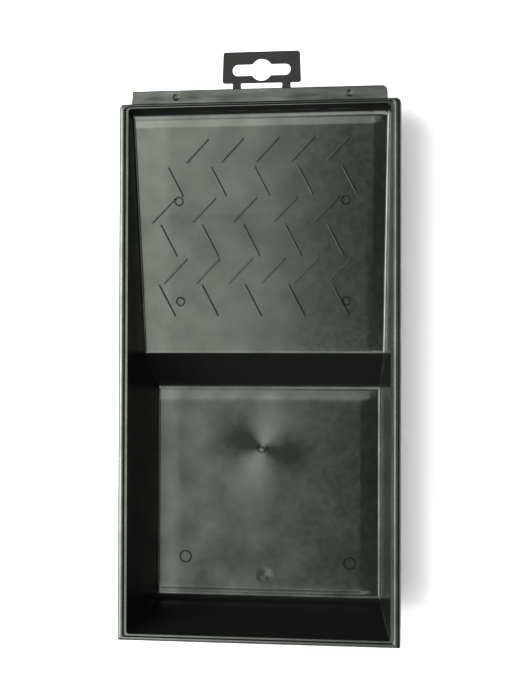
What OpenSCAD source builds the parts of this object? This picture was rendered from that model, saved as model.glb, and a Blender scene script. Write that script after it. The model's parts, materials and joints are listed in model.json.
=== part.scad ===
// Mini paint roller tray: a deep paint well, a ribbed roll-off ramp and a fold-over hang tab.
// Millimetres, +Z up. The origin is on the resting surface, under the middle of the outline.
// The tray is drawn from its front rim edge, y = 0, and placed() moves it onto the origin.

/* [Rim] */
// Width across the rim's outer edges
rim_w = 156; // [130:1:200]
// Length from the front rim edge to the rear rim edge
rim_l = 296; // [270:1:340]
// Height of the rim's top above the resting surface
rim_h = 46; // [42:1:56]
// Thickness of the rim's flat band
rim_t = 2; // [1.6:0.1:2.6]
// Width of the band along each side
side_band = 5; // [4:0.1:8]
// Width of the band at the front
front_band = 3.2; // [2.6:0.1:6]
// Width of the band at the rear
rear_band = 1.8; // [1.8:0.1:4]
// Depth of the turned-down edge below the band
skirt_h = 6; // [3:0.5:10]
// Thickness of the turned-down edge
skirt_t = 1.6; // [1.2:0.1:2]

/* [Well] */
// Wall thickness, measured level
wall = 1.8; // [1.4:0.1:1.8]
// Thickness of the well's floor
floor_t = 2; // [1.6:0.1:3]
// Inward lean of the side and rear walls, per millimetre of height
side_draft = 0.20; // [0.05:0.01:0.22]
// Inward lean of the front wall, per millimetre of height
front_draft = 0.355; // [0.1:0.005:0.4]
// Distance from the front rim edge to the foot of the ramp's step
step_foot_y = 140.5; // [120:0.5:145]

/* [Ramp] */
// Distance from the front rim edge to the ramp's lower lip
lip_y = 158.5; // [150:0.5:175]
// Depth of the ramp's lower lip below the rim's top
lip_drop = 25; // [20:0.5:28]
// Depth of the ramp's upper end below the rim's top
ramp_drop = 8; // [6:0.5:14]
// Thickness of the ramp deck
deck_t = 2; // [1.6:0.1:2.6]
// Thickness of the step below the lip, measured level
step_t = 2.4; // [2:0.1:3]

/* [Ramp ribs] */
// Width of one rib
rib_w = 1.1; // [0.8:0.1:2]
// Height of one rib above the deck
rib_h = 1.2; // [0.6:0.1:2]

/* [Rear ledge and legs] */
// Width of the ledge behind the rear rim
ledge_w = 142; // [110:1:142]
// Reach of the ledge beyond the rear rim
ledge_d = 7.7; // [6:0.1:14]
// Thickness of the ledge
ledge_t = 1.8; // [1.4:0.1:2.4]
// Drop of the ledge's top below the rim's top
ledge_drop = 0.8; // [0.2:0.1:1.4]
// Distance of each rear leg from the centre line
leg_x = 48; // [30:1:60]
// Width of a leg's rear flange
leg_w = 14; // [8:1:20]
// Thickness of a leg's web and flange
leg_t = 2; // [1.6:0.1:3]
// Reach of the leg's web under the ramp
leg_reach = 17; // [8:1:30]

/* [Hang tab] */
// Width of the hang tab
tab_w = 43.4; // [40:0.2:60]
// Length of the hang tab
tab_l = 17.2; // [15:0.2:24]
// Thickness of the hang tab
tab_t = 1.6; // [1.2:0.1:2]
// Corner radius of the hang tab
tab_r = 1.4; // [0.6:0.1:3]
// Offset of the hang tab from the centre line
tab_x = 1.8; // [-4:0.1:4]
// Length of the euro slot
slot_w = 32.2; // [24:0.1:34]
// Height of the slot's arms
slot_h = 6.3; // [5:0.1:8]
// Diameter of the slot's middle circle
slot_d = 12; // [9:0.1:12.4]
// Distance of the slot's centre line from the tab's lower edge
slot_y = 7.1; // [6.8:0.1:8.4]
// Gap between the ledge and the tab
neck_gap = 3; // [2:0.1:4]
// Width of each folding neck
neck_w = 4.8; // [3:0.1:7]
// Thickness of each folding neck
neck_t = 0.8; // [0.5:0.1:1]
// Distance of each neck from the middle of the tab
neck_x = 13.7; // [8:0.1:17]

/* [Hidden] */
$fn = 48;

// Colours of the two black finishes.
TRAY_BLACK = [0.07, 0.075, 0.075];
TAB_BLACK = [0.16, 0.165, 0.165];

// Running clearance between a folding neck and the ledge's edge.
neck_clear = 0.1;
// Height of the underside of the rim's band, where the walls end.
band_z = rim_h - rim_t;
total_l = rim_l + ledge_d + neck_gap + tab_l;
ledge_z = rim_h - ledge_drop - ledge_t;
tab_z = ledge_z + (ledge_t - tab_t) / 2;
tab_y = rim_l + ledge_d + neck_gap;
// The fold line runs through the middle of the neck's rounded root.
fold_y = rim_l + ledge_d + neck_clear + neck_t / 2;
fold_z = tab_z + tab_t / 2;

// The hollow's inner faces, by height.
function half_w(z) = rim_w / 2 - side_band - (rim_h - z) * side_draft;
function front_y(z) = front_band + (rim_h - z) * front_draft;
function rear_y(z) = rim_l - rear_band - (rim_h - z) * side_draft;

// The ramp: its top runs from the lip up to the rear wall.
lip_z = rim_h - lip_drop;
top_z = rim_h - ramp_drop;
top_y = rear_y(top_z);
ramp_slope = (top_z - lip_z) / (top_y - lip_y);
ramp_deg = atan(ramp_slope);
function under_z(y) = lip_z - deck_t + (y - lip_y) * ramp_slope;
// Height of the deck's underside where it meets the rear wall.
under_top_z = top_z - deck_t;
// The lip's underside, where the back of the step meets the underside of the deck.
step_slope = (lip_y - step_foot_y) / (lip_z - floor_t);
lip_under_y = (step_foot_y + step_t + (under_z(0) - floor_t) * step_slope)
              / (1 - ramp_slope * step_slope);
lip_under_z = under_z(lip_under_y);

// Rib rows: distance of the row's upper ends from the front rim, first rib, spacing, count,
// and each rib's run towards the front: across the tray, then along it.
RIB_ROWS = [
    [277.8, -28.9, 19.7, 5, -12.9, -13.1],
    [262.7, -52.1, 24.3, 5,   8.0, -16.7],
    [245.3, -48.4, 23.0, 5, -13.6, -13.4],
    [231.1, -57.0, 23.4, 5,   8.7, -18.3],
    [211.8, -42.4, 18.5, 6, -13.7, -13.8],
    [197.6, -58.7, 24.5, 5,   8.6, -18.0]
];

module placed() {
    translate([0, -total_l / 2, 0]) children();
}

// A flat wall between two matching loops of corners. Both loops run clockwise as seen
// from the side of the first.
module panel(inner, outer) {
    n = len(inner);
    polyhedron(
        points = concat(inner, outer),
        faces = concat(
            [[for (i = [0 : n - 1]) i]],
            [[for (i = [0 : n - 1]) 2 * n - 1 - i]],
            [for (i = [0 : n - 1]) [(i + 1) % n, i, n + i, n + (i + 1) % n]]
        )
    );
}

// A corner of the hollow on the left, at the front or the rear; out = 1 is the outer skin.
function front_corner(z, out) = [-half_w(z) - out * wall, front_y(z) - out * wall, z];
function rear_corner(z, out) = [-half_w(z) - out * wall, rear_y(z) + out * wall, z];
// A point of the left wall at a given distance from the front rim.
function side_point(y, z, out) = [-half_w(z) - out * wall, y, z];
function flip(p) = [-p[0], p[1], p[2]];

// A level band with straight edges, from its outline in the rim's plane.
module band(outline, z, thickness) {
    translate([0, 0, z]) linear_extrude(thickness) polygon(outline);
}

// ---- The well ----

module well_floor() {
    half = half_w(floor_t) + wall;
    y0 = front_y(floor_t) - wall;
    color(TRAY_BLACK) placed()
        translate([-half, y0, 0])
            cube([2 * half, step_foot_y + step_t - y0, floor_t]);
}

module well_front_wall() {
    function face(out) = [
        flip(front_corner(band_z, out)), front_corner(band_z, out),
        front_corner(floor_t, out), flip(front_corner(floor_t, out))
    ];
    color(TRAY_BLACK) placed() panel(face(0), face(1));
}

module left_well_wall() {
    function face(out) = [
        front_corner(band_z, out), side_point(lip_under_y, band_z, out),
        side_point(lip_under_y, lip_under_z, out),
        side_point(step_foot_y + step_t, floor_t, out), front_corner(floor_t, out)
    ];
    color(TRAY_BLACK) placed() panel(face(0), face(1));
}

module right_well_wall() {
    mirror([1, 0, 0]) left_well_wall();
}

// ---- The ramp ----

module left_ramp_wall() {
    function face(out) = [
        side_point(lip_under_y, band_z, out), rear_corner(band_z, out),
        rear_corner(under_top_z, out), side_point(lip_under_y, lip_under_z, out)
    ];
    color(TRAY_BLACK) placed() panel(face(0), face(1));
}

module right_ramp_wall() {
    mirror([1, 0, 0]) left_ramp_wall();
}

// The steep step from the well's floor up to the ramp's lip.
module ramp_step() {
    lip = side_point(lip_y, lip_z, 0);
    foot = side_point(step_foot_y, floor_t, 0);
    lip_under = side_point(lip_under_y, lip_under_z, 0);
    foot_back = side_point(step_foot_y + step_t, floor_t, 0);
    color(TRAY_BLACK) placed()
        panel([lip, flip(lip), flip(foot), foot],
              [lip_under, flip(lip_under), flip(foot_back), foot_back]);
}

module ramp_deck() {
    top = rear_corner(top_z, 0);
    lip = side_point(lip_y, lip_z, 0);
    under_top = rear_corner(under_top_z, 0);
    lip_under = side_point(lip_under_y, lip_under_z, 0);
    color(TRAY_BLACK) placed()
        panel([top, flip(top), flip(lip), lip],
              [under_top, flip(under_top), flip(lip_under), lip_under]);
}

module rear_wall() {
    function face(out) = [
        rear_corner(band_z, out), flip(rear_corner(band_z, out)),
        flip(rear_corner(under_top_z, out)), rear_corner(under_top_z, out)
    ];
    color(TRAY_BLACK) placed() panel(face(0), face(1));
}

// One raised rib on the deck, round at both ends.
module rib(x, y, run_x, run_y) {
    run = norm([run_x, run_y / cos(ramp_deg)]) - rib_w;
    angle = atan2(run_y / cos(ramp_deg), run_x);
    translate([0, lip_y, lip_z]) rotate([ramp_deg, 0, 0])
        translate([x, (y - lip_y) / cos(ramp_deg), 0]) rotate([0, 0, angle])
            linear_extrude(rib_h) union() {
                translate([rib_w / 2, -rib_w / 2]) square([run, rib_w]);
                translate([rib_w / 2, 0]) circle(d = rib_w);
                translate([rib_w / 2 + run, 0]) circle(d = rib_w);
            }
}

module rib_row(row) {
    color(TRAY_BLACK) placed()
        for (i = [0 : row[3] - 1]) rib(row[1] + i * row[2], row[0], row[4], row[5]);
}

module rib_row_1() { rib_row(RIB_ROWS[0]); }
module rib_row_2() { rib_row(RIB_ROWS[1]); }
module rib_row_3() { rib_row(RIB_ROWS[2]); }
module rib_row_4() { rib_row(RIB_ROWS[3]); }
module rib_row_5() { rib_row(RIB_ROWS[4]); }
module rib_row_6() { rib_row(RIB_ROWS[5]); }

// ---- The rim ----

// Corners of the rim on the left: the outer edge, the turned-down edge's inside, the hollow.
OUT_FRONT = [-rim_w / 2, 0];
OUT_REAR = [-rim_w / 2, rim_l];
SKIRT_FRONT = [-rim_w / 2 + skirt_t, skirt_t];
SKIRT_REAR = [-rim_w / 2 + skirt_t, rim_l];
IN_FRONT = [-half_w(rim_h), front_band];
IN_REAR = [-half_w(rim_h), rim_l - rear_band];
function flip2(p) = [-p[0], p[1]];

module front_rim() {
    color(TRAY_BLACK) placed() union() {
        band([OUT_FRONT, flip2(OUT_FRONT), flip2(IN_FRONT), IN_FRONT], band_z, rim_t);
        band([OUT_FRONT, flip2(OUT_FRONT), flip2(SKIRT_FRONT), SKIRT_FRONT],
             band_z - skirt_h, skirt_h);
    }
}

module left_rim() {
    color(TRAY_BLACK) placed() union() {
        band([OUT_FRONT, IN_FRONT, IN_REAR, OUT_REAR], band_z, rim_t);
        band([OUT_FRONT, SKIRT_FRONT, SKIRT_REAR, OUT_REAR], band_z - skirt_h, skirt_h);
    }
}

module right_rim() {
    mirror([1, 0, 0]) left_rim();
}

module rear_rim() {
    color(TRAY_BLACK) placed()
        band([OUT_REAR, IN_REAR, flip2(IN_REAR), flip2(OUT_REAR)], band_z, rim_t);
}

// ---- The rear ledge and the legs under it ----

module rear_ledge() {
    color(TRAY_BLACK) placed()
        translate([-ledge_w / 2, rim_l, ledge_z]) cube([ledge_w, ledge_d, ledge_t]);
}

// A T-shaped leg: a web from the ramp's underside to the ground and a flange behind it.
module rear_leg(x) {
    back_y = rim_l + ledge_d - 1;
    web_y = rear_y(under_top_z) - leg_reach;
    foot_y = back_y - 10;
    color(TRAY_BLACK) placed() union() {
        translate([x - leg_t / 2, 0, 0])
            rotate([90, 0, 90]) linear_extrude(leg_t) polygon([
                [foot_y, 0], [back_y, 0], [back_y, ledge_z], [rim_l, ledge_z],
                [rim_l, under_top_z], [rear_y(under_top_z), under_top_z],
                [web_y, under_z(web_y)]
            ]);
        translate([x - leg_w / 2, back_y - leg_t, 0]) cube([leg_w, leg_t, ledge_z]);
    }
}

module left_rear_leg() { rear_leg(-leg_x); }
module right_rear_leg() { rear_leg(leg_x); }

// ---- The hang tab ----

module round_rect(w, l, r) {
    union() {
        translate([-w / 2 + r, 0]) square([w - 2 * r, l]);
        translate([-w / 2, r]) square([w, l - 2 * r]);
        for (x = [-w / 2 + r, w / 2 - r], y = [r, l - r]) translate([x, y]) circle(r);
    }
}

// The euro slot: a bar with round ends and a circle in the middle.
module euro_slot() {
    arm = (slot_w - slot_h) / 2;
    union() {
        translate([-arm, -slot_h / 2]) square([2 * arm, slot_h]);
        for (x = [-arm, arm]) translate([x, 0]) circle(d = slot_h);
        circle(d = slot_d);
    }
}

module hang_tab() {
    color(TAB_BLACK) placed()
        translate([tab_x, tab_y, tab_z]) linear_extrude(tab_t) difference() {
            round_rect(tab_w, tab_l, tab_r);
            translate([0, slot_y]) euro_slot();
        }
}

// A thin neck that folds at its rounded root, beside the ledge's edge.
module tab_neck(x) {
    color(TAB_BLACK) placed()
        translate([x - neck_w / 2, fold_y, fold_z]) union() {
            rotate([0, 90, 0]) cylinder(h = neck_w, d = neck_t);
            translate([0, 0, -neck_t / 2]) cube([neck_w, tab_y - fold_y, neck_t]);
        }
}

module left_tab_neck() { tab_neck(tab_x - neck_x); }
module right_tab_neck() { tab_neck(tab_x + neck_x); }

well_floor();
well_front_wall();
left_well_wall();
right_well_wall();
left_ramp_wall();
right_ramp_wall();
ramp_step();
ramp_deck();
rear_wall();
front_rim();
left_rim();
right_rim();
rear_rim();
rear_ledge();
left_rear_leg();
right_rear_leg();
rib_row_1();
rib_row_2();
rib_row_3();
rib_row_4();
rib_row_5();
rib_row_6();
hang_tab();
left_tab_neck();
right_tab_neck();
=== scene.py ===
"""A mini paint roller tray in black polypropylene, with its fold-over hang tab.

The sizes come from the frame. The pieces are shaped in millimetres on a bench, in edit mode,
and each is then placed in the frame's metres.
"""

import itertools
import json
import logging
import math
from collections.abc import Callable, Iterable, Iterator
from contextlib import contextmanager
from dataclasses import dataclass
from enum import Enum

import bmesh
import bpy
from mathutils import Matrix, Vector

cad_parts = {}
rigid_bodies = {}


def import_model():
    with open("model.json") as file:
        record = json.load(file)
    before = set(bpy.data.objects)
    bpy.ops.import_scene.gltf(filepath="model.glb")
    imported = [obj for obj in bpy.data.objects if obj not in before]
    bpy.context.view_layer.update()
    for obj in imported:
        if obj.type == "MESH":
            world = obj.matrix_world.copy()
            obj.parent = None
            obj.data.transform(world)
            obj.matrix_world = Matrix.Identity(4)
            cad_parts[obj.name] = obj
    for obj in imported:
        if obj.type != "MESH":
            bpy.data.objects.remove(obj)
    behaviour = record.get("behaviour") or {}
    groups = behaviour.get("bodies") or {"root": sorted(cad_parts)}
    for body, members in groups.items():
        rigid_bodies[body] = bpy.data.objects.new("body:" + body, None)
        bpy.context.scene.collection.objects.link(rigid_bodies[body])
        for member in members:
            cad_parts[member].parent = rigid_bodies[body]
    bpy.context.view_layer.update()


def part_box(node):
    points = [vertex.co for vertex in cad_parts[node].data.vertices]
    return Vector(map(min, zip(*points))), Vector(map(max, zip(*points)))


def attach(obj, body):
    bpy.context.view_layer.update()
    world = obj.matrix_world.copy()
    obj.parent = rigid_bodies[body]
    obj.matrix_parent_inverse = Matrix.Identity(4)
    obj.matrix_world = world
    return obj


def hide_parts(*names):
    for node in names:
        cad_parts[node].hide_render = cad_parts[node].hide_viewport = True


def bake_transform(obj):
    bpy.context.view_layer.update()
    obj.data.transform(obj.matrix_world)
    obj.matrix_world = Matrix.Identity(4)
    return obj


for leftover in list(bpy.data.objects):
    bpy.data.objects.remove(leftover)
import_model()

MM = 0.001
# How near two places must be to count as one, in millimetres.
NEAR = 0.01
# How near a sloping wall a place must be to lie on it, in millimetres.
NEAR_WALL = 0.03
# Edges sharper than this stay crisp.
CRISP_DEG = 40.0
LOG = logging.getLogger("paint_tray")
Point = tuple[float, float, float]
Socket = bpy.types.NodeSocket


class Body(Enum):
    """The rigid bodies that pieces ride on."""

    TRAY = "tray"
    TAB = "tab"


class Kind(Enum):
    """What part of a mesh is picked in edit mode."""

    VERT = "VERT"
    EDGE = "EDGE"
    FACE = "FACE"


class Axis(Enum):
    """The axis that a change of gloss runs along."""

    X = "X"
    Y = "Y"


# ---- Measures from the frame ----


@dataclass(frozen=True)
class Span:
    """The box of a node, in millimetres."""

    lo: Vector
    hi: Vector

    @classmethod
    def of(cls, node: str) -> "Span":
        """Measures a node's box.

        Args:
            node: The node's name.

        Returns:
            Its box in millimetres.
        """
        lo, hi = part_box(node)
        return cls(lo / MM, hi / MM)

    @property
    def mid(self) -> Vector:
        """The box's middle."""
        return (self.lo + self.hi) / 2

    @property
    def size(self) -> Vector:
        """The box's size along each axis."""
        return self.hi - self.lo


class Hollow:
    """The hollow's flat inner faces, as the frame's walls give them."""

    def __init__(self) -> None:
        """Measures the walls, the step and the ramp."""
        side, front, rear = (Span.of(n) for n in ("left_well_wall", "well_front_wall", "rear_wall"))
        step, deck, floor = (Span.of(n) for n in ("ramp_step", "ramp_deck", "well_floor"))
        self.floor_z = floor.hi.z
        self.mouth_z = side.hi.z
        self.wall = floor.hi.x + side.hi.x
        self.side_foot = -side.hi.x
        rise = self.mouth_z - self.floor_z
        self.side_draft = (-side.lo.x - self.wall - self.side_foot) / rise
        self.front_foot = front.hi.y
        self.front_draft = (front.hi.y - self.wall - front.lo.y) / rise
        self.step_foot = step.lo.y
        self.lip_y, self.lip_z = deck.lo.y, step.hi.z
        self.top_z = deck.hi.z
        self.rear_mouth = rear.hi.y - self.wall
        self.slope = (self.top_z - self.lip_z) / (self.rear(self.top_z) - self.lip_y)

    def half(self, z: float) -> float:
        """Half the hollow's width at height z."""
        return self.side_foot + (z - self.floor_z) * self.side_draft

    def front(self, z: float) -> float:
        """The front wall's place at height z."""
        return self.front_foot - (z - self.floor_z) * self.front_draft

    def rear(self, z: float) -> float:
        """The rear wall's place at height z."""
        return self.rear_mouth - (self.mouth_z - z) * self.side_draft

    def ramp_z(self, y: float) -> float:
        """The ramp's height at a place along the tray."""
        return self.lip_z + (y - self.lip_y) * self.slope


# ---- The bench: meshes shaped in edit mode ----


def mix(start: float, end: float, share: float) -> float:
    """Mixes two values by the second one's share."""
    return start + (end - start) * share


def upright(a: Vector, b: Vector) -> bool:
    """Whether an edge between two places climbs more than a millimetre."""
    return abs(a.z - b.z) > 1


class Work:
    """One mesh on the bench, shaped in millimetres."""

    def __init__(self, name: str) -> None:
        """Takes the primitive that was just added and names it.

        Args:
            name: The piece's name.
        """
        self.obj = bpy.context.active_object
        self.obj.name = name
        self.obj.data.name = name

    @staticmethod
    def clear() -> None:
        """Leaves nothing selected."""
        for obj in bpy.context.selected_objects:
            obj.select_set(False)

    @classmethod
    def new(cls, name: str, add: Callable[..., object], scale: Point = (1, 1, 1),
            **settings: object) -> "Work":
        """Adds a primitive and applies its place and size.

        Args:
            name: The piece's name.
            add: The operator that adds it.
            scale: Its size along each axis.
            settings: The operator's settings.

        Returns:
            The new piece.
        """
        cls.clear()
        add(**settings)
        bpy.context.active_object.scale = scale
        bpy.ops.object.transform_apply(location=True, rotation=True, scale=True)
        return cls(name)

    @classmethod
    def box(cls, name: str, lo: Iterable[float], hi: Iterable[float]) -> "Work":
        """Adds a block, or a level sheet where both corners are as high.

        Args:
            name: The piece's name.
            lo: Its corner with the lowest places.
            hi: The corner across from it.

        Returns:
            The new piece.
        """
        lo, hi = Vector(lo), Vector(hi)
        x, y, z = hi - lo
        add = bpy.ops.mesh.primitive_cube_add if z else bpy.ops.mesh.primitive_plane_add
        return cls.new(name, add, (x, y, z or 1), size=1, location=(lo + hi) / 2)

    @classmethod
    def disc(cls, name: str, at: Point, low_r: float, high_r: float, depth: float,
             tilt: float = 0.0) -> "Work":
        """Adds a round plug with a radius below and above, turned about X by a tilt."""
        return cls.new(
            name, bpy.ops.mesh.primitive_cone_add, vertices=64, radius1=low_r, radius2=high_r,
            depth=depth, location=at, rotation=(tilt, 0, 0),
        )

    @classmethod
    def ball(cls, name: str, at: Point, radius: float) -> "Work":
        """Adds a ball."""
        add = bpy.ops.mesh.primitive_uv_sphere_add
        return cls.new(name, add, segments=48, ring_count=24, radius=radius, location=at)

    def hold(self) -> None:
        """Makes this piece the only one selected."""
        Work.clear()
        self.obj.select_set(True)
        bpy.context.view_layer.objects.active = self.obj

    @contextmanager
    def edit(self) -> Iterator[None]:
        """Edit mode on this piece alone."""
        self.hold()
        bpy.ops.object.mode_set(mode="EDIT")
        yield
        bpy.ops.object.mode_set(mode="OBJECT")

    def pick(self, kind: Kind, test: Callable[..., bool]) -> None:
        """Selects what passes a test, and nothing else, in edit mode.

        Args:
            kind: Vertices, edges or faces.
            test: For a vertex it takes its place, for an edge its two ends, for a face its
                middle and its normal.
        """
        bpy.ops.mesh.select_mode(type=kind.value)
        bpy.ops.mesh.select_all(action="DESELECT")
        bm = bmesh.from_edit_mesh(self.obj.data)
        if kind is Kind.VERT:
            chosen = [v for v in bm.verts if test(v.co)]
        elif kind is Kind.EDGE:
            chosen = [e for e in bm.edges if test(e.verts[0].co, e.verts[1].co)]
        else:
            chosen = [f for f in bm.faces if test(f.calc_center_median(), f.normal)]
        for element in chosen:
            element.select_set(True)
        bm.select_flush_mode()
        bmesh.update_edit_mesh(self.obj.data)

    def everything(self) -> None:
        """Selects the whole mesh, in edit mode."""
        bpy.ops.mesh.select_all(action="SELECT")

    def slide(self, x: float = 0.0, y: float = 0.0, z: float = 0.0) -> None:
        """Moves what is selected."""
        bpy.ops.transform.translate(value=(x, y, z))

    def pull(self, at: Iterable[float], to: Iterable[float]) -> None:
        """Moves the corner at one place to another.

        Args:
            at: Where the corner is.
            to: Where it goes.
        """
        at, to = Vector(at), Vector(to)
        self.pick(Kind.VERT, lambda p: (p - at).length < NEAR)
        self.slide(*(to - at))

    def cut(self, at: Point, along: Point) -> None:
        """Cuts what is selected with a plane through a point, square to a direction."""
        bpy.ops.mesh.bisect(plane_co=at, plane_no=along)

    def cut_all(self, at: Point, along: Point) -> None:
        """Cuts the whole mesh with a plane."""
        self.everything()
        self.cut(at, along)

    def extrude(self, z: float) -> None:
        """Extrudes what is selected straight up or down."""
        bpy.ops.mesh.extrude_region_move(TRANSFORM_OT_translate={"value": (0, 0, z)})

    def bevel(self, size: float, segments: int) -> None:
        """Rounds the selected edges."""
        bpy.ops.mesh.bevel(offset=size, segments=segments)

    def stretch(self, factors: Point, about: Iterable[float]) -> None:
        """Scales what is selected about a place."""
        bpy.ops.transform.resize(value=factors, center_override=about)

    def modify(self, kind: str, **settings: object) -> None:
        """Adds a modifier and applies it.

        Args:
            kind: The modifier's type.
            settings: Its properties.
        """
        self.hold()
        modifier = self.obj.modifiers.new(kind.lower(), kind)
        for key, value in settings.items():
            setattr(modifier, key, value)
        bpy.ops.object.modifier_apply(modifier=modifier.name)

    def carve(self, cutter: "Work") -> None:
        """Cuts another piece's shape out of this one and removes that piece."""
        self.modify("BOOLEAN", operation="DIFFERENCE", object=cutter.obj, solver="EXACT")
        bpy.data.objects.remove(cutter.obj)

    def add(self, other: "Work") -> None:
        """Makes another piece one with this one."""
        self.modify("BOOLEAN", operation="UNION", object=other.obj, solver="EXACT")
        bpy.data.objects.remove(other.obj)

    def raise_by(self, height: float, share: Callable[[Vector], float]) -> None:
        """Raises the skin by a height, times the share that a rule gives for each place.

        Args:
            height: The full rise.
            share: Takes a place and gives a share from 0 to 1.
        """
        group = self.obj.vertex_groups.new(name="share")
        for vert in self.obj.data.vertices:
            group.add([vert.index], share(vert.co), "REPLACE")
        self.modify(
            "DISPLACE", direction="Z", strength=height, mid_level=0.0, vertex_group="share"
        )
        self.obj.vertex_groups.clear()

    def outward(self) -> None:
        """Turns all faces outward."""
        with self.edit():
            self.everything()
            bpy.ops.mesh.normals_make_consistent(inside=False)

    def place(self, material: bpy.types.Material) -> bpy.types.Object:
        """Turns the finished piece into the frame's metres and dresses it.

        Args:
            material: Its finish.

        Returns:
            The finished object, at the origin.
        """
        self.hold()
        self.obj.scale = (MM, MM, MM)
        bpy.ops.object.transform_apply(location=True, rotation=True, scale=True)
        bpy.ops.object.shade_smooth_by_angle(angle=math.radians(CRISP_DEG))
        self.modify("WEIGHTED_NORMAL", mode="FACE_AREA", weight=50, keep_sharp=True)
        self.obj.data.materials.clear()
        self.obj.data.materials.append(material)
        LOG.info("%s: %d faces", self.obj.name, len(self.obj.data.polygons))
        return self.obj


def settle(
    work: Work, material: bpy.types.Material, body: Body, nodes: Iterable[str]
) -> bpy.types.Object:
    """Places a piece on its body, in place of the frame's plain nodes.

    Args:
        work: The finished mesh.
        material: Its finish.
        body: The body it rides on.
        nodes: The frame's nodes it stands for.

    Returns:
        The finished object.
    """
    piece = work.place(material)
    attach(piece, body.value)
    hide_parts(*nodes)
    return piece


# ---- Finishes ----


def linear(hex_colour: str) -> tuple[float, float, float, float]:
    """Turns an sRGB hex colour into linear values.

    Args:
        hex_colour: Six hex digits.

    Returns:
        Linear red, green, blue and an alpha of 1.
    """
    parts = [int(hex_colour[i:i + 2], 16) / 255 for i in (0, 2, 4)]
    r, g, b = (c / 12.92 if c <= 0.04045 else ((c + 0.055) / 1.055) ** 2.4 for c in parts)
    return (r, g, b, 1.0)


class Graph:
    """A material's nodes: one principled shader and what feeds it."""

    def __init__(self, name: str, **inputs: object) -> None:
        """Starts a material.

        Args:
            name: The material's name.
            inputs: Values for the shader's inputs, by name with _ for a space.
        """
        self.material = bpy.data.materials.new(name)
        self.material.use_nodes = True
        self.tree = self.material.node_tree
        self.shader = self.tree.nodes["Principled BSDF"]
        for key, value in inputs.items():
            self.shader.inputs[key.replace("_", " ")].default_value = value
        self.place = self.add_node("TexCoord")["Object"]

    def add_node(
        self, kind: str, settings: dict | None = None, **feeds: object
    ) -> bpy.types.NodeOutputs:
        """Adds a shader node with its settings and what feeds it.

        Args:
            kind: The node's type.
            settings: Properties of the node.
            feeds: For each input, by name with _ for a space or as i and its number, a value or
                the socket it is fed by.

        Returns:
            The new node's outputs.
        """
        node = self.tree.nodes.new("ShaderNode" + kind)
        for key, value in (settings or {}).items():
            setattr(node, key, value)
        for key, value in feeds.items():
            numbered = key[0] == "i" and key[1:].isdigit()
            socket = node.inputs[int(key[1:]) if numbered else key.replace("_", " ")]
            if isinstance(value, Socket):
                self.tree.links.new(value, socket)
            else:
                socket.default_value = value
        return node.outputs

    def feed(self, name: str, socket: Socket) -> None:
        """Feeds one of the shader's inputs."""
        self.tree.links.new(socket, self.shader.inputs[name])

    def noise(
        self, size_mm: float, detail: float, roughness: float = 0.5, at: Socket | None = None
    ) -> Socket:
        """Adds noise.

        Args:
            size_mm: About how far apart its patches are.
            detail: How many finer layers it has.
            roughness: How strong the finer layers are.
            at: Coordinates, if not the object's own.

        Returns:
            The noise, which lies mostly between 0.3 and 0.7.
        """
        return self.add_node(
            "TexNoise", Vector=self.place if at is None else at,
            Scale=1 / (size_mm * MM), Detail=detail, Roughness=roughness,
        )["Fac"]

    def swing(self, noise: Socket, middle: float, swing: float) -> Socket:
        """Turns noise into a value that swings to both sides of a middle."""
        return self.add_node(
            "MapRange", Value=noise, From_Min=0.3, From_Max=0.7,
            To_Min=middle - swing, To_Max=middle + swing,
        )["Result"]

    def fade(self, value: Socket, start: float, end: float, full: float) -> Socket:
        """Turns a value into an effect that is full up to a start and gone at an end."""
        return self.add_node(
            "MapRange", {"interpolation_type": "SMOOTHSTEP"}, Value=value,
            From_Min=start, From_Max=end, To_Min=full, To_Max=0.0,
        )["Result"]

    def bump(self, height: Socket, depth_mm: float, **under: Socket) -> Socket:
        """Turns a height into a normal, on top of the Normal under it where one is given."""
        return self.add_node(
            "Bump", Height=height, Distance=depth_mm * MM, **under
        )["Normal"]

    def calc(
        self, operation: str, *terms: object, kind: str = "Math", out: str = "Value"
    ) -> Socket:
        """Does one step of arithmetic.

        Args:
            operation: What is done.
            terms: Values or sockets, in the order of the node's inputs.
            kind: The node's type.
            out: Which output is the result.

        Returns:
            The result.
        """
        feeds = {f"i{index}": term for index, term in enumerate(terms)}
        return self.add_node(kind, {"operation": operation}, **feeds)[out]


@dataclass(frozen=True)
class Fan:
    """A mark where the melt spread out: glossier along one axis and duller across it.

    The centre and the reach are in millimetres, the turn in degrees.
    """

    centre: tuple[float, float]
    reach: float
    turn: float
    strength: float

    def lay(self, graph: Graph, gloss: Socket) -> Socket:
        """Adds the fan to a gloss.

        Args:
            graph: The material's nodes.
            gloss: The gloss so far.

        Returns:
            The gloss with the fan in it.
        """
        x, y = self.centre
        reach = self.reach * MM
        vector = {"kind": "VectorMath", "out": "Vector"}
        number = {"kind": "VectorMath", "out": "Value"}
        centred = graph.add_node(
            "Mapping", {"vector_type": "TEXTURE"}, Vector=graph.place,
            Location=(x * MM, y * MM, 0), Rotation=(0, 0, math.radians(self.turn)),
        )["Vector"]
        flat = graph.calc("MULTIPLY", centred, (1, 1, 0), **vector)
        length = graph.calc("LENGTH", flat, **number)
        unit = graph.calc("NORMALIZE", flat, **vector)
        # The square of the ray's run along Y, less that across, is +1 along and -1 across.
        mirrored = graph.calc("MULTIPLY", unit, (-1, 1, 0), **vector)
        lobes = graph.calc("DOT_PRODUCT", unit, mirrored, **number)
        fade = graph.fade(length, reach * 0.25, reach, self.strength)
        return graph.calc("MULTIPLY_ADD", lobes, fade, gloss)


@dataclass(frozen=True)
class Shade:
    """A change of gloss along one axis: full before the start, gone at the end."""

    axis: Axis
    start: float
    end: float
    change: float


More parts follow.
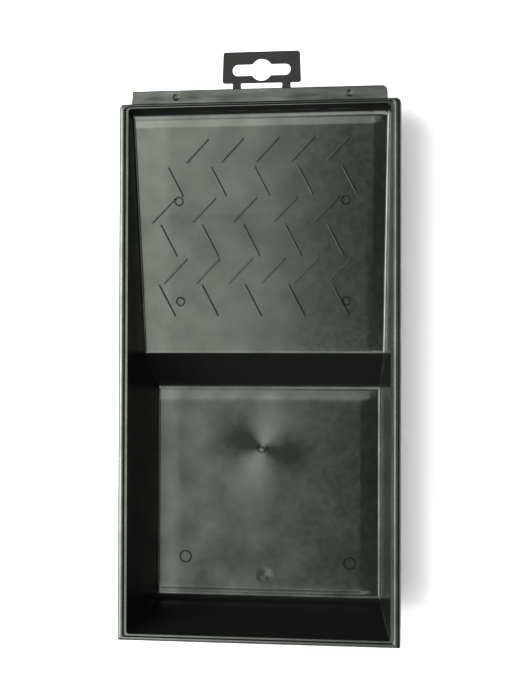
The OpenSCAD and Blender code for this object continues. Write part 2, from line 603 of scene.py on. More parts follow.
@dataclass(frozen=True)
class Polypropylene:
    """What every finish of the black polypropylene has."""

    name: str
    colour: str
    # The black pigment gives the shine a faint green cast.
    sheen: str
    roughness: float
    roughness_swing: float
    gloss: float
    ior: float = 1.49

    def start(self) -> Graph:
        """Starts the material with its constants."""
        return Graph(
            self.name, Base_Color=linear(self.colour), IOR=self.ior,
            Specular_Tint=linear(self.sheen), Specular_IOR_Level=self.gloss,
        )


@dataclass(frozen=True)
class MouldedPolypropylene(Polypropylene):
    """Black polypropylene, injection moulded: satin, with the melt's flow marks in its shine."""

    name: str = "moulded_polypropylene"
    colour: str = "0d0e0d"
    sheen: str = "f4fff0"
    roughness: float = 0.20
    roughness_swing: float = 0.025
    # The melt's flow leaves streaks about 4 mm apart, and the cooled skin waves 28 mm apart.
    streak_mm: float = 4.0
    wave_mm: float = 28.0
    wave_depth_mm: float = 0.05
    grain_mm: float = 0.5
    grain_depth_mm: float = 0.003
    gloss: float = 0.5
    gloss_swing: float = 0.035
    least_gloss: float = 0.1
    # How much rougher the skin is where it is duller.
    dulling: float = 0.12
    # Handling leaves duller clouds about 16 mm apart.
    cloud_mm: float = 16.0
    cloud_swing: float = 0.07
    # A cutter's marks along the rim, where it has them.
    tooth_mm: float = 0.9
    tooth_depth_mm: float = 0.0

    def build(
        self, fans: Iterable[Fan] = (), shades: Iterable[Shade] = (), spread: float = 1.0
    ) -> bpy.types.Material:
        """Makes the material.

        Args:
            fans: Marks where the melt entered or was held back.
            shades: Parts that are duller or glossier than the rest.
            spread: Factor on the streaks' length across the tray.

        Returns:
            The new material.
        """
        graph = self.start()
        place = graph.place
        drawn = graph.add_node("Mapping", Vector=place, Scale=(1 / spread, 1, 1))
        streak = graph.noise(self.streak_mm, 3.0, 0.6, drawn["Vector"])
        normal = graph.bump(graph.noise(self.wave_mm, 1.0), self.wave_depth_mm)
        normal = graph.bump(graph.noise(self.grain_mm, 2.0), self.grain_depth_mm, Normal=normal)
        if self.tooth_depth_mm:
            # The wave's bands repeat every 20 / 2 pi units at a scale of 1.
            teeth = graph.add_node(
                "TexWave", {"bands_direction": "Y"}, Vector=place,
                Scale=math.tau / 20 / (self.tooth_mm * MM), Distortion=0.6, Detail=1.0,
            )
            normal = graph.bump(teeth["Fac"], self.tooth_depth_mm, Normal=normal)
        graph.feed("Normal", normal)
        gloss = graph.calc(
            "ADD", graph.swing(streak, self.gloss, self.gloss_swing),
            graph.swing(graph.noise(self.cloud_mm, 1.5, 0.4), 0.0, self.cloud_swing),
        )
        axes = graph.add_node("SeparateXYZ", Vector=place)
        for shade in shades:
            start, end = shade.start * MM, shade.end * MM
            change = graph.fade(axes[shade.axis.value], start, end, shade.change)
            gloss = graph.calc("ADD", gloss, change)
        for fan in fans:
            gloss = fan.lay(graph, gloss)
        gloss = graph.calc("MAXIMUM", gloss, self.least_gloss)
        graph.feed("Specular IOR Level", gloss)
        level = self.roughness + self.gloss * self.dulling
        rough = graph.swing(streak, level, self.roughness_swing)
        graph.feed("Roughness", graph.calc("MULTIPLY_ADD", gloss, -self.dulling, rough))
        return graph.material


@dataclass(frozen=True)
class MattePolypropylene(Polypropylene):
    """The same polypropylene from a blasted mould: the hang tab's dull, faintly pitted skin."""

    name: str = "matte_polypropylene"
    colour: str = "131413"
    sheen: str = "fafff8"
    roughness: float = 0.58
    roughness_swing: float = 0.05
    gloss: float = 0.12
    # The blasted mould leaves pits about 0.35 mm apart.
    pit_mm: float = 0.35
    pit_depth_mm: float = 0.012
    patch_mm: float = 9.0

    def build(self) -> bpy.types.Material:
        """Makes the material.

        Returns:
            The new material.
        """
        graph = self.start()
        patches = graph.noise(self.patch_mm, 3.0)
        graph.feed("Roughness", graph.swing(patches, self.roughness, self.roughness_swing))
        graph.feed("Normal", graph.bump(graph.noise(self.pit_mm, 2.0), self.pit_depth_mm))
        return graph.material


@dataclass(frozen=True)
class PalePaper:
    """Pale, matt paper: it hides the floor's edge and takes a soft shadow."""

    name: str = "pale_paper"
    colour: str = "f4f4f4"
    roughness: float = 0.9
    fibre_mm: float = 1.5
    fibre_depth_mm: float = 0.02

    def build(self) -> bpy.types.Material:
        """Makes the material.

        Returns:
            The new material.
        """
        graph = Graph(self.name, Base_Color=linear(self.colour), Roughness=self.roughness)
        graph.feed("Normal", graph.bump(graph.noise(self.fibre_mm, 2.0), self.fibre_depth_mm))
        return graph.material


# ---- The tray ----


@dataclass
class Basin:
    """The hollow of the moulding: well, step, ramp and the four walls, as one skin."""

    hollow: Hollow
    side_fillet: float = 1.3
    end_fillet: float = 1.6
    front_corner: float = 0.9
    rear_corner: float = 1.8
    foot_fillet: float = 1.5
    lip_fillet: float = 0.6
    # The bevel's full width, of which each edge has its own share.
    widest: float = 10.0
    # The crown's flat borders: where each starts, off its wall, and how wide it is.
    ramp_side_border: tuple[float, float] = (1.3, 6.8)
    well_side_border: tuple[float, float] = (1.3, 9.2)
    back_border: tuple[float, float] = (1.6, 6.0)
    step_border: tuple[float, float] = (2.3, 6.2)
    front_border: tuple[float, float] = (1.6, 4.4)
    # How far up the left wall the crown runs out.
    wall_top: float = 5.0
    crown: float = 0.85
    bead: float = 0.35
    skin: float = 2.0
    grid: float = 5.0
    # How far above, below and past its flat face a place may be and still belong to it.
    slack_above: float = 0.8
    slack_below: float = 0.3
    slack_past: float = 0.6
    # Cuts behind the lip's nose, between which the bead falls off.
    bead_cuts: tuple[float, float] = (2.0, 1.1)
    # The ejector pins' round marks: place across, place along, radius.
    pins: tuple[Point, ...] = (
        (-46.3, 81.7, 2.5), (47.3, 81.2, 2.5), (-46.7, 26.0, 2.5), (46.9, 25.9, 2.5),
        (-47.8, -120.0, 3.5), (47.1, -122.3, 3.5),
    )
    gate: tuple[float, float] = (-3.3, -56.9)
    sink: tuple[float, float] = (-1.7, -130.2)

    def cage(self) -> Work:
        """Extrudes the hollow's flat faces down from the mouth.

        Returns:
            The cage, in millimetres.
        """
        h = self.hollow
        top, low, deep = h.mouth_z, h.lip_z, h.floor_z

        def at_lip(p: Vector) -> bool:
            """Whether a place is on the lip's line across the tray."""
            return abs(p.y - h.lip_y) < NEAR

        work = Work.box(
            "basin", (-h.half(top), h.front(top), top), (h.half(top), h.rear(top), top)
        )
        with work.edit():
            work.cut_all((0, h.lip_y, top), (0, 1, 0))
            work.everything()
            work.extrude(low - top)
            work.pick(Kind.FACE, lambda c, n: c.z > top - NEAR)
            bpy.ops.mesh.delete(type="FACE")
            for side in (-1, 1):
                wide, lip = side * h.half(top), side * h.half(low)
                work.pull((wide, h.front(top), low), (lip, h.front(low), low))
                work.pull((wide, h.lip_y, low), (lip, h.lip_y, low))
                back = (side * h.half(h.top_z), h.rear(h.top_z), h.top_z)
                work.pull((wide, h.rear(top), low), back)
            work.pick(Kind.FACE, lambda c, n: c.y < h.lip_y and abs(n.z) > 0.9)
            work.extrude(deep - low)
            for side in (-1, 1):
                wide, foot = side * h.half(low), side * h.half(deep)
                work.pull((wide, h.front(low), deep), (foot, h.front(deep), deep))
                work.pull((wide, h.lip_y, deep), (foot, h.step_foot, deep))
            # The flat walls keep no seams at the lip's level and above its ends.
            work.pick(Kind.EDGE, lambda a, b: abs(a.z - low) < NEAR and abs(b.z - low) < NEAR
                      and not (at_lip(a) and at_lip(b)))
            bpy.ops.mesh.dissolve_edges(use_verts=True)
            work.pick(Kind.EDGE, lambda a, b: at_lip(a) and at_lip(b) and upright(a, b))
            bpy.ops.mesh.dissolve_edges(use_verts=True)
        return work

    @property
    def floor_limit(self) -> float:
        """How far below a floor's upper face its lower face may lie."""
        return -self.skin - self.slack_below

    def on_floor(self, p: Vector) -> bool:
        """Whether a place lies on the well's floor, above or below."""
        h = self.hollow
        return p.z < h.floor_z + self.slack_above and p.y < h.step_foot + self.slack_past

    def on_ramp(self, p: Vector) -> bool:
        """Whether a place lies on the ramp, above or below."""
        above = p.z - self.hollow.ramp_z(p.y)
        return p.y > self.hollow.lip_y - NEAR and self.floor_limit < above < self.slack_above

    def share(self, p: Vector) -> float:
        """How much of the crown's rise a place has.

        The floor and the ramp fall away in flat borders at their ends and along the right wall.
        Along the left wall the rise runs out on the wall itself.

        Args:
            p: A place on the skin.

        Returns:
            A share from 0 to 1.
        """
        h = self.hollow
        ramp = p.y > h.lip_y - NEAR
        above = p.z - (h.ramp_z(p.y) if ramp else h.floor_z)
        if above < self.floor_limit or (not ramp and p.y > h.step_foot + self.slack_past):
            return 0.0
        side = h.half(p.z) - p.x
        if ramp:
            gaps = [(side, self.ramp_side_border), (h.rear(p.z) - p.y, self.back_border)]
        else:
            gaps = [
                (side, self.well_side_border), (h.step_foot - p.y, self.step_border),
                (p.y - h.front_foot, self.front_border),
            ]
        flat = min((gap - start) / width for gap, (start, width) in gaps)
        wall = (self.wall_top - above) / (self.wall_top - self.side_fillet)
        return min(max(flat, 0.0), 1.0) * min(max(wall, 0.0), 1.0)

    def crown_faces(self, work: Work) -> None:
        """Raises the ramp and the well's floor within their flat borders.

        Args:
            work: The basin's mesh.
        """
        h = self.hollow
        foot, top = h.half(h.floor_z), h.half(h.top_z)
        well, ramp = self.well_side_border, self.ramp_side_border
        corners = (
            (self.on_floor, foot, h.step_foot, -1, self.step_border, well),
            (self.on_floor, foot, h.front_foot, 1, self.front_border, well),
            (self.on_ramp, top, h.rear(h.top_z), -1, self.back_border, ramp),
        )
        with work.edit():
            for on_place, x, y, inward, (start, width), (side_start, side_width) in corners:
                across = side_start + side_width
                work.pick(Kind.FACE, lambda c, n: on_place(c))
                work.cut((0, y + inward * (start + width), 0), (0, 1, 0))
                work.pick(Kind.FACE, lambda c, n: on_place(c))
                work.cut((h.side_foot - across, 0, h.floor_z), (1, 0, -h.side_draft))
                # The borders meet in a mitre.
                work.pick(Kind.FACE, lambda c, n: on_place(c) and x - c.x < across + 1
                          and abs(c.y - y) < start + width + 1)
                work.cut((x - side_start, y + inward * start, 0), (width, inward * side_width, 0))
        work.raise_by(self.crown, self.share)

    def raise_bead(self, work: Work) -> None:
        """Raises a bead along the lip, just behind its nose.

        Args:
            work: The basin's mesh.
        """
        h = self.hollow
        with work.edit():
            for back in self.bead_cuts:
                work.pick(Kind.FACE, lambda c, n: self.on_ramp(c))
                work.cut((0, h.lip_y + back, h.lip_z), (0, 1, 0))
            # Only the nose's own corners rise, on the upper skin.
            work.pick(Kind.VERT, lambda p: h.lip_y - 1.0 < p.y < h.lip_y + 1.2
                      and h.lip_z - 0.9 < p.z < h.lip_z + 2.0 and abs(p.x) < h.half(p.z) + 0.5)
            work.slide(z=self.bead)

    def round_off(self, work: Work) -> None:
        """Marks every edge for its own rounding, and rounds them.

        Args:
            work: The basin's mesh.
        """
        h = self.hollow

        def faces(p: Vector) -> set[str]:
            """Names the parts of the hollow that a place is on.

            Args:
                p: The place.

            Returns:
                The parts' names.
            """
            near = {
                "side": abs(abs(p.x) - h.half(p.z)) < NEAR_WALL,
                "front": abs(p.y - h.front(p.z)) < NEAR_WALL,
                "rear": abs(p.y - h.rear(p.z)) < NEAR_WALL,
                "below": p.z < h.mouth_z - NEAR,
                "lip": abs(p.y - h.lip_y) < NEAR_WALL and p.z < h.lip_z + 1.2,
                "foot": abs(p.y - h.step_foot) < 0.2 and p.z < h.floor_z + 1,
            }
            return {name for name in near if near[name]}

        fillets = (
            ({"side", "below"}, self.side_fillet), ({"front", "below"}, self.end_fillet),
            ({"rear", "below"}, self.end_fillet), ({"front", "side"}, self.front_corner),
            ({"rear", "side"}, self.rear_corner), ({"lip"}, self.lip_fillet),
            ({"foot"}, self.foot_fillet),
        )
        with work.edit():
            for names, size in fillets:
                work.pick(Kind.EDGE, lambda a, b: names <= faces(a) & faces(b))
                bpy.ops.transform.edge_bevelweight(value=size / self.widest)
        work.modify(
            "SOLIDIFY", thickness=self.skin, offset=-1.0, solidify_mode="NON_MANIFOLD",
            nonmanifold_thickness_mode="CONSTRAINTS", nonmanifold_boundary_mode="NONE",
        )
        work.modify(
            "BEVEL", width=self.widest, segments=5, limit_method="WEIGHT", offset_type="OFFSET",
            use_clamp_overlap=False, miter_outer="MITER_SHARP", harden_normals=False,
        )

    def build(self) -> Work:
        """Shapes the basin.

        Returns:
            The finished mesh.
        """
        work = self.cage()
        self.round_off(work)
        work.outward()
        self.rule_grid(work)
        self.crown_faces(work)
        self.raise_bead(work)
        self.press_marks(work)
        return work

    def rule_grid(self, work: Work) -> None:
        """Rules the skin with fine cross cuts, so that its faces stay small and even.

        Args:
            work: The basin's mesh.
        """
        h, step = self.hollow, self.grid
        with work.edit():
            for axis, low, high in (
                (Vector((1, 0, 0)), -h.half(h.mouth_z), h.half(h.mouth_z)),
                (Vector((0, 1, 0)), h.front(h.mouth_z), h.rear_mouth),
                (Vector((0, 0, 1)), h.floor_z + 4.0, h.mouth_z),
            ):
                count = round((high - low) / step)
                for i in range(1, count):
                    work.cut_all(axis * mix(low, high, i / count), axis)

    def press_marks(self, work: Work) -> None:
        """Presses in the marks of the ejector pins and of the gate, and the sink mark.

        Args:
            work: The basin's mesh.
        """
        h = self.hollow
        for x, y, radius in self.pins:
            ramp = y > h.lip_y
            z = (h.ramp_z(y) if ramp else h.floor_z) + self.crown
            tilt = math.atan(h.slope) if ramp else 0.0
            # A narrow moat runs round each pin's disc.
            moat = Work.disc("moat", (x, y, z), radius - 0.3, radius + 0.6, 0.8, tilt)
            moat.carve(Work.disc("disc", (x, y, z), radius - 0.4, radius - 1.1, 0.9, tilt))
            work.carve(moat)
        x, y = self.gate
        z = h.floor_z + self.crown
        # Round the gate's pit lies a shallow, uneven crater.
        moat = Work.disc("moat", (x + 0.3, y - 0.2, z + 0.1), 2.9, 3.9, 0.9, 0.07)
        moat.carve(Work.disc("nub", (x, y, z), 2.8, 1.6, 1.2))
        work.carve(moat)
        work.carve(Work.disc("gate", (x + 0.2, y + 0.1, z + 0.1), 0.4, 1.3, 0.9, -0.06))
        x, y = self.sink
        # A ball set 8.66 above the floor is pressed flat, so that a wide, shallow dish is left.
        sink = Work.ball("sink", (x, y, z + 8.66), 10.0)
        with sink.edit():
            sink.everything()
            sink.stretch((1, 1, 0.11), (x, y, z))
        work.carve(sink)


@dataclass
class Rim:
    """The rim around the mouth, with its edge turned down at the front and the sides."""

    hollow: Hollow
    inner_round: float = 1.4
    outer_front_round: float = 0.9
    outer_rear_round: float = 2.8
    # The side rims' ends stand a little behind the rear rim, which is level with the ledge.
    rear_bulge: float = 0.9
    # How far each ring is lifted clear of the last while its corners are set.
    lift: float = 1000.0

    # The section, from the hollow's edge round to the underside. Each corner has its place from
    # the hollow's wall (0) to the outer edge (1), and its height above the band's underside.
    profile: tuple[tuple[float, float], ...] = (
        (0.0, 0.0), (0.02, 1.12), (0.26, 1.0), (0.38, 1.70), (0.41, 1.80), (0.50, 1.98),
        (0.54, 2.0), (0.60, 2.0), (0.72, 1.80), (0.83, 1.42), (0.92, 0.95), (0.98, 0.4),
        (1.0, 0.0), (0.70, 0.0), (0.30, 0.0), (0.17, -0.6),
    )
    edge_round: float = 0.35

    def build(self) -> Work:
        """Extrudes the section round the mouth, ring by ring.

        Returns:
            The finished mesh.
        """
        h, lift = self.hollow, self.lift
        band, outer = h.mouth_z, Span.of("left_rim")
        edge_x, edge_f, edge_r = -outer.lo.x, outer.lo.y, outer.hi.y + self.rear_bulge
        in_x, in_f, in_r = h.half(band), h.front(band), h.rear_mouth
        middle = (in_f + in_r) / 2
        # The front and the rear: which, where it starts and ends, and its outer corners' radius.
        ends = (
            (False, in_f, edge_f, self.outer_front_round),
            (True, in_r, edge_r, self.outer_rear_round),
        )
        work = Work.box("rim", (-in_x, in_f, band), (in_x, in_r, band))
        with work.edit():
            work.pick(Kind.FACE, lambda c, n: True)
            bpy.ops.mesh.delete(type="ONLY_FACE")
            work.everything()
            bpy.ops.mesh.bevel(affect="VERTICES", offset=self.inner_round, segments=6)
            work.pick(Kind.VERT, lambda p: True)
            steps = self.profile
            for (was, fell), (share, rise) in zip(steps, steps[1:] + steps[:1]):
                work.extrude(lift)
                for side, (rear, near, far, turn) in itertools.product((-1, 1), ends):
                    work.pick(Kind.VERT, lambda p: p.z > lift / 2 and p.x * side > 0
                              and (p.y > middle) == rear)
                    old, new = (
                        Vector((side * mix(in_x, edge_x, part), mix(near, far, part), 0))
                        for part in (was, share)
                    )
                    grow = mix(self.inner_round, turn, share) / mix(self.inner_round, turn, was)
                    work.stretch((grow, grow, 1), old)
                    work.slide(*(new - old))
                work.pick(Kind.VERT, lambda p: p.z > lift / 2)
                work.slide(z=rise - fell - lift)
            work.everything()
            bpy.ops.mesh.remove_doubles(threshold=0.001)
            bpy.ops.mesh.normals_make_consistent(inside=False)
            # The edge is turned down along the front and the sides.
            work.pick(Kind.FACE, lambda c, n: n.z < -0.9 and abs(c.z - band) < NEAR
                      and (edge_x - abs(c.x) < 1.2 or c.y - edge_f < 1.0))
            work.extrude(outer.lo.z - band)
            # The rear rim is nearly flat and level with the ledge.
            level = Span.of("rear_ledge").hi.z + 0.02
            work.pick(Kind.VERT, lambda p: p.y > in_r - 0.3 and abs(p.x) < in_x - 0.9
                      and p.z > level)
            work.stretch((1, 1, 0.05), (0, 0, level))
            work.pick(Kind.EDGE, lambda a, b: max(a.z, b.z) < outer.lo.z + NEAR and all(
                edge_x - abs(p.x) < NEAR or p.y - edge_f < NEAR for p in (a, b)))
            work.bevel(self.edge_round, 3)
        work.outward()
        return work


@dataclass
class Ledge:
    """The flat ledge behind the rear rim, with a dimple near each end."""

    edge_round: float = 0.45
    taper: float = 0.6
    left_round: float = 0.7
    right_round: float = 2.6
    # How far the plate runs into the rim.
    root: float = 0.6
    dimple_x: tuple[float, float] = (-45.8, 50.4)
    dimple_radius: float = 2.2
    dimple_depth: float = 0.35

    def build(self) -> Work:
        """Shapes the ledge.

        Returns:
            The finished mesh.
        """
        span = Span.of("rear_ledge")
        work = Work.box("ledge", span.lo - Vector((0, self.root, 0)), span.hi)
        with work.edit():
            for side in (-1, 1):
                work.pick(Kind.VERT, lambda p: p.x * side > 0 and p.y > span.hi.y - NEAR)
                work.slide(x=-side * self.taper)
            for side, size, segments in ((1, self.right_round, 8), (-1, self.left_round, 4)):
                work.pick(Kind.EDGE, lambda a, b: upright(a, b) and a.x * side > 0
                          and a.y > span.mid.y)
                work.bevel(size, segments)
            work.pick(Kind.EDGE, lambda a, b: abs(a.z - b.z) < NEAR
                      and max(a.y, b.y) > span.lo.y)
            work.bevel(self.edge_round, 4)
        radius = (self.dimple_radius ** 2 + self.dimple_depth ** 2) / (2 * self.dimple_depth)
        for x in self.dimple_x:
            at = (x, span.mid.y - 0.05, span.hi.z + radius - self.dimple_depth)
            work.carve(Work.ball("dimple", at, radius))
        return work


@dataclass
class Leg:
    """A T-shaped leg: a flange behind and a web that runs under the ramp."""

    hollow: Hollow
    node: str
    name: str
    flange: float = 2.0
    web: float = 2.0
    foot: float = 10.0
    edge_round: float = 0.4

    def build(self) -> Work:
        """Shapes the leg.

        Returns:
            The finished mesh.
        """
        h, span = self.hollow, Span.of(self.node)
        top = h.top_z - h.floor_z
        under = top + h.slope * (span.lo.y - h.rear(top))
        back = span.hi.y
        mid, half = span.mid.x, self.web / 2
        work = Work.box(
            self.name, (mid - half, back - self.foot, 0), (mid + half, back - 0.2, span.hi.z)
        )
        with work.edit():
            # The web's front edge leans forward to reach under the ramp.
            for z in (under, top):
                work.cut_all((0, 0, z), (0, 0, 1))
            front = back - self.foot
            for z, y in (
                (under, span.lo.y), (top, h.rear(top) + 0.8), (span.hi.z, h.rear_mouth + 1.6)
            ):
                work.pick(Kind.VERT, lambda p: p.y < front + NEAR and abs(p.z - z) < NEAR)
                work.slide(y=y - front)
        plate = Work.box("flange", (span.lo.x, back - self.flange, 0), span.hi)
        with plate.edit():
            plate.pick(Kind.EDGE, lambda a, b: min(a.z, b.z) < span.hi.z - NEAR)
            plate.bevel(self.edge_round, 3)
        work.add(plate)
        return work


@dataclass
class RibRow:
    """One row of slanted ribs on the ramp: one rib is shaped, the others are its copies."""

    hollow: Hollow
    node: str
    name: str
    count: int
    pitch: float
    lean: int
    width: float = 1.5
    height: float = 1.25
    sunk: float = 0.75
    # How much shorter than its node a rib is, and how much more its crest is.
    trim: float = 0.2
    crest_trim: float = 1.0
    # Shares of the width: the rounding of the ends, and the crest.
    end_round: float = 0.42
    crest: float = 0.3
    crest_round: float = 0.15

    def build(self) -> Work:
        """Shapes the row.

        Returns:
            The finished mesh.
        """
        h, span = self.hollow, Span.of(self.node)
        run_x = span.size.x - (self.count - 1) * self.pitch
        run_y = span.size.y
        length = math.hypot(run_x, run_y) - self.trim
        turn = math.atan2(run_y, run_x * self.lean)
        work = Work.box(
            self.name, (-length / 2, -self.width / 2, -self.sunk),
            (length / 2, self.width / 2, self.height)
        )
        with work.edit():
            # The ends are rounded in plan and fall away, and the crest is a soft ridge.
            work.pick(Kind.EDGE, upright)
            work.bevel(self.width * self.end_round, 5)
            work.pick(Kind.VERT, lambda p: p.z > 0)
            work.stretch((1 - self.crest_trim / length, self.crest, 1), (0, 0, self.height))
            work.pick(Kind.EDGE, lambda a, b: min(a.z, b.z) > 0)
            work.bevel(self.crest_round, 3)
            work.everything()
            for axis, angle in (("Z", turn), ("X", math.atan(h.slope))):
                # The turn goes the other way round than its sign says.
                bpy.ops.transform.rotate(
                    value=-angle, orient_axis=axis, center_override=(0, 0, 0)
                )
            first = span.lo.x + run_x / 2
            work.slide(first, span.mid.y, h.ramp_z(span.mid.y) + Basin.crown)
            for _ in range(1, self.count):
                bpy.ops.mesh.duplicate_move(TRANSFORM_OT_translate={"value": (self.pitch, 0, 0)})
        return work


@dataclass
class Tab:
    """The hang tab: a plate with a euro slot."""

    corner_round: float = 1.4
    taper: float = 0.5
    edge_round: float = 0.28
    slot_w: float = 32.2
    slot_h: float = 6.3
    slot_d: float = 12.0
    slot_y: float = 7.1

    def build(self) -> Work:
        """Shapes the tab.

        Returns:
            The finished mesh.
        """
        span = Span.of("hang_tab")
        mid = span.mid
        work = Work.box("tab_plate", span.lo, span.hi)
        with work.edit():
            for side in (-1, 1):
                work.pick(Kind.VERT, lambda p: (p.x - mid.x) * side > 0 and p.y > mid.y)
                work.slide(x=-side * self.taper)
            work.pick(Kind.EDGE, upright)
            work.bevel(self.corner_round, 6)
        y, deep = span.lo.y + self.slot_y, span.size.z + 2
        slot = Work.box(
            "slot", (mid.x - self.slot_w / 2, y - self.slot_h / 2, span.lo.z - 1),
            (mid.x + self.slot_w / 2, y + self.slot_h / 2, span.hi.z + 1)
        )
        with slot.edit():
            slot.pick(Kind.EDGE, upright)
            # The slot's ends are all but half round.
            slot.bevel(self.slot_h / 2 - 0.02, 10)
        slot.add(Work.disc("eye", (mid.x, y, mid.z), self.slot_d / 2, self.slot_d / 2, deep))
        work.carve(slot)
        work.modify(
            "BEVEL", width=self.edge_round, segments=3, limit_method="ANGLE",
            angle_limit=math.radians(50),
        )
        return work


@dataclass
class Neck:
    """A thin web between the ledge and the tab."""

    node: str
    name: str
    root: float = 0.5
    overlap: float = 0.6
    edge_round: float = 0.2
    slices: int = 24
    # Where the waist is drawn in, as shares of the length: from, to and by what factor.
    waist: tuple[Point, ...] = ((0.3, 0.7, 0.96), (0.4, 0.6, 0.95))
    waist_thinning: float = 0.93

    def build(self) -> Work:
        """Shapes the web.

        Returns:
            The finished mesh.
        """
        span = Span.of(self.node)
        lo = Vector((span.lo.x, span.lo.y - self.root, span.lo.z))
        hi = Vector((span.hi.x, span.hi.y + self.overlap, span.hi.z))
        work = Work.box(self.name, lo, hi)
        with work.edit():
            work.pick(Kind.EDGE, lambda a, b: abs(a.y - b.y) > 1)
            work.bevel(self.edge_round, 2)
            # Fine cross cuts divide the web along its length, and its waist is drawn in.
            for step in range(1, self.slices):
                work.cut_all((0, mix(lo.y, hi.y, step / self.slices), 0), (0, 1, 0))
            for low, high, factor in self.waist:
                work.pick(Kind.VERT, lambda p: low < (p.y - lo.y) / (hi.y - lo.y) < high)
                work.stretch((factor, 1, self.waist_thinning), span.mid)
        return work


# ---- Stage, lights and camera ----

# The floor's side in metres, and the room's light.
FLOOR_SIZE = 6
ROOM_COLOUR = (0.6, 0.6, 0.6, 1)
ROOM_STRENGTH = 0.06
# What the lights are aimed at.
TARGET = Vector((0, 0, 0.04))


@dataclass(frozen=True)
class Softbox:
    """A soft rectangular light aimed at the tray."""

    name: str
    # Angle off the vertical and compass angle from +X, in degrees.
    lean: float
    heading: float
    distance: float
    width: float
    length: float
    watts: float

    def hang(self, target: Vector) -> None:
        """Hangs the light.

        Args:
            target: What it is aimed at.
        """
        a, b = math.radians(self.lean), math.radians(self.heading)
        back = Vector((math.sin(a) * math.cos(b), math.sin(a) * math.sin(b), math.cos(a)))
        light = bpy.data.lights.new(self.name, "AREA")
        light.shape = "RECTANGLE"
        light.size, light.size_y = self.width, self.length
        light.energy = self.watts
        obj = bpy.data.objects.new(self.name, light)
        obj.location = target + back * self.distance
        # The light's own Y stays level, so that its width runs up and down.
        level = Vector((-math.sin(b), math.cos(b), 0))
        obj.rotation_euler = Matrix((level.cross(back), level, back)).transposed().to_euler()
        bpy.context.scene.collection.objects.link(obj)
        LOG.info("light %s", self.name)


SOFTBOXES = (
    Softbox("left_high", 21.4, 180, 1.2, 0.625, 1.1, 9.7),
    Softbox("left_low", 57.5, 180, 1.2, 0.95, 1.1, 56.0),
    Softbox("rear", 18.5, 90, 1.4, 0.62, 1.2, 8.6),
    Softbox("front", 33, 270, 1.4, 0.6, 1.2, 14.0),
    Softbox("right", 45, 0, 1.4, 0.4, 1.0, 4.0),
)


@dataclass(frozen=True)
class Camera:
    """The camera, looking down on the tray."""

    position: Point = (0.1206, -0.01435, 0.8467)
    ahead: Point = (-0.14701, 0.01607, -0.98901)
    right: Point = (0.98914, 0.00279, -0.14698)
    # In millimetres.
    lens: float = 76.5
    sensor: float = 36.0

    def mount(self) -> None:
        """Puts the camera in the scene."""
        camera = bpy.data.cameras.new("camera")
        camera.lens, camera.sensor_width, camera.sensor_fit = self.lens, self.sensor, "AUTO"
        camera.dof.use_dof = False
        obj = bpy.data.objects.new("camera", camera)
        back = -Vector(self.ahead).normalized()
        right = Vector(self.right)
        right = (right - back * right.dot(back)).normalized()
        obj.rotation_euler = Matrix((right, back.cross(right), back)).transposed().to_euler()
        obj.location = self.position
        bpy.context.scene.collection.objects.link(obj)
        bpy.context.scene.camera = obj


def pale_floor() -> None:
    """Lays a pale, matt sheet under the tray and sets a dim room around it."""
    Work.clear()
    bpy.ops.mesh.primitive_plane_add(size=FLOOR_SIZE, location=(0, 0, 0))
    floor = bpy.context.active_object
    floor.name = "floor"
    floor.data.materials.append(PalePaper().build())
    world = bpy.data.worlds.new("room")
    world.use_nodes = True
    background = world.node_tree.nodes["Background"]
    background.inputs["Color"].default_value = ROOM_COLOUR
    background.inputs["Strength"].default_value = ROOM_STRENGTH
    bpy.context.scene.world = world


# For each row of ribs, from the rear: how many, and their spacing in millimetres.
RIB_ROWS = ((5, 19.7), (5, 24.3), (5, 23.0), (5, 23.4), (6, 18.5), (5, 24.5))


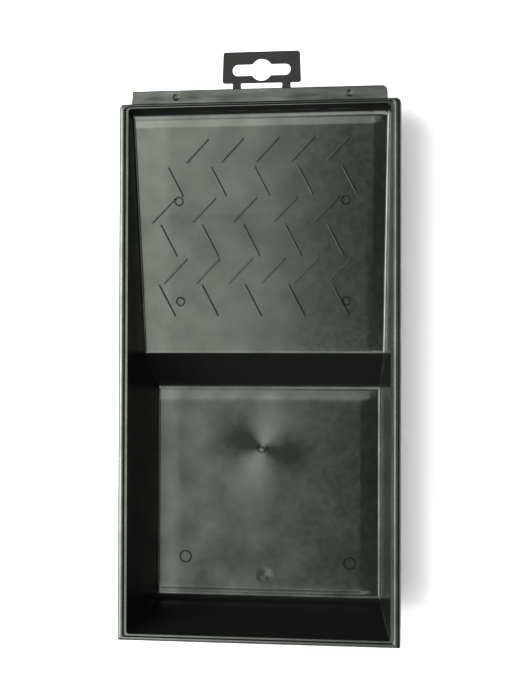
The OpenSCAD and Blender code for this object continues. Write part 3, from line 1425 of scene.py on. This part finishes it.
def main() -> None:
    """Builds the tray, its stage, lights and camera."""
    logging.basicConfig(level=logging.INFO, format="%(name)s: %(message)s")
    hollow = Hollow()
    basin = Basin(hollow)
    fans = (
        Fan(basin.gate, reach=36.0, turn=-18.0, strength=0.34),
        Fan(basin.sink, reach=6.5, turn=-45.0, strength=0.14),
    )
    satin = MouldedPolypropylene().build()
    floor_satin = MouldedPolypropylene(name="moulded_polypropylene_around_gate").build(fans, (
        Shade(Axis.Y, -20.0, -6.0, -0.15), Shade(Axis.X, -56.0, -49.0, 0.11),
        Shade(Axis.Y, -125.0, -80.0, -0.06),
        # A faint edge across the ramp, where the mould's insert met the rest.
        Shade(Axis.Y, 74.0, 74.5, -0.05), Shade(Axis.Y, 40.0, 70.0, 0.05),
    ))
    rim_satin = MouldedPolypropylene(
        name="moulded_polypropylene_toothed", tooth_depth_mm=0.05, gloss=0.40
    ).build(shades=(Shade(Axis.X, -72.0, 60.0, 0.2),))
    streaked = MouldedPolypropylene(
        name="moulded_polypropylene_streaked", gloss=0.27, gloss_swing=0.14
    ).build(spread=6.0)
    dull = MattePolypropylene().build()
    settle(basin.build(), floor_satin, Body.TRAY, (
        "well_floor", "well_front_wall", "left_well_wall", "right_well_wall",
        "left_ramp_wall", "right_ramp_wall", "ramp_step", "ramp_deck", "rear_wall",
    ))
    settle(Rim(hollow).build(), rim_satin, Body.TRAY,
           ("front_rim", "left_rim", "right_rim", "rear_rim"))
    settle(Ledge().build(), streaked, Body.TRAY, ("rear_ledge",))
    for side in ("left", "right"):
        node = f"{side}_rear_leg"
        settle(Leg(hollow, node, f"{side}_leg").build(), satin, Body.TRAY, (node,))
    for number, (count, pitch) in enumerate(RIB_ROWS, 1):
        node, lean = f"rib_row_{number}", 1 if number % 2 else -1
        row = RibRow(hollow, node, f"ribs_{number}", count, pitch, lean)
        settle(row.build(), satin, Body.TRAY, (node,))
    settle(Tab().build(), dull, Body.TAB, ("hang_tab",))
    for node, name in (("left_tab_neck", "left_web"), ("right_tab_neck", "right_web")):
        piece = Neck(node, name).build().place(dull)
        span = Span.of(node)
        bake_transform(piece)
        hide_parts(node)
    pale_floor()
    bpy.context.scene.view_settings.view_transform = "Standard"
    for softbox in SOFTBOXES:
        softbox.hang(TARGET)
    Camera().mount()


if __name__ == "__main__":
    main()
